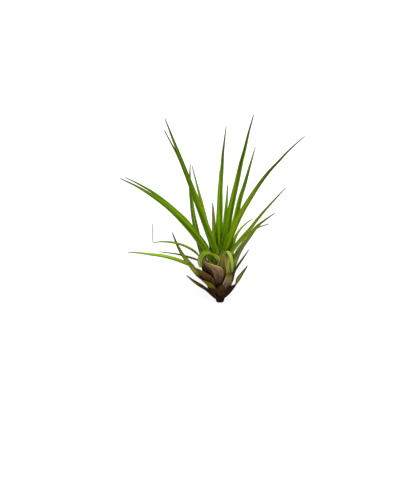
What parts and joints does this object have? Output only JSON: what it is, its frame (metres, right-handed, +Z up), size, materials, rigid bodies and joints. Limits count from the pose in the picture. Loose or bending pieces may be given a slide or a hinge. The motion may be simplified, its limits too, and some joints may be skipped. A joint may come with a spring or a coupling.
{
  "type": "air plant",
  "caption": "Rosette of narrow channelled leaves from nested broad sheaths on a short stem, some curled over or bent, as picked and lying on its foot and on the ends of back leaves.",
  "frame": {"origin": "middle of the foot of the box round the plant, on the surface that it lies on", "axes": "+Z up; the stem leans back from the viewer by 60 degrees, toward +Y; +X to the viewer's right"},
  "size_m": [0.11, 0.0924, 0.0977],
  "materials": {
    "leaf": "smooth fresh leaf, green, brown at the sheath and pale at the tip",
    "old_leaf": "older sheath, purple-brown with grey scales and a green blade",
    "stem": "dry woody stub"
  },
  "bodies": {
    "root": {"stem": "stem", "leaf_01": "old_leaf", "leaf_02": "old_leaf", "leaf_03": "old_leaf", "leaf_04": "old_leaf", "leaf_05": "old_leaf", "leaf_06": "old_leaf", "leaf_07": "old_leaf", "leaf_08": "leaf", "leaf_09": "leaf", "leaf_10": "leaf", "leaf_11": "leaf", "leaf_12": "leaf", "leaf_13": "leaf", "leaf_14": "leaf", "leaf_15": "old_leaf", "leaf_16": "leaf", "leaf_17": "leaf", "leaf_18": "leaf", "leaf_19": "leaf", "leaf_20": "leaf", "leaf_21": "leaf", "leaf_22": "leaf", "leaf_23": "leaf", "leaf_24": "leaf", "leaf_25": "leaf", "leaf_26": "leaf", "leaf_27": "leaf", "leaf_28": "leaf", "leaf_29": "leaf", "leaf_30": "leaf", "leaf_31": "leaf", "leaf_32": "leaf", "leaf_33": "leaf", "leaf_34": "leaf", "leaf_35": "leaf", "leaf_36": "leaf"}
  },
  "joints": []
}
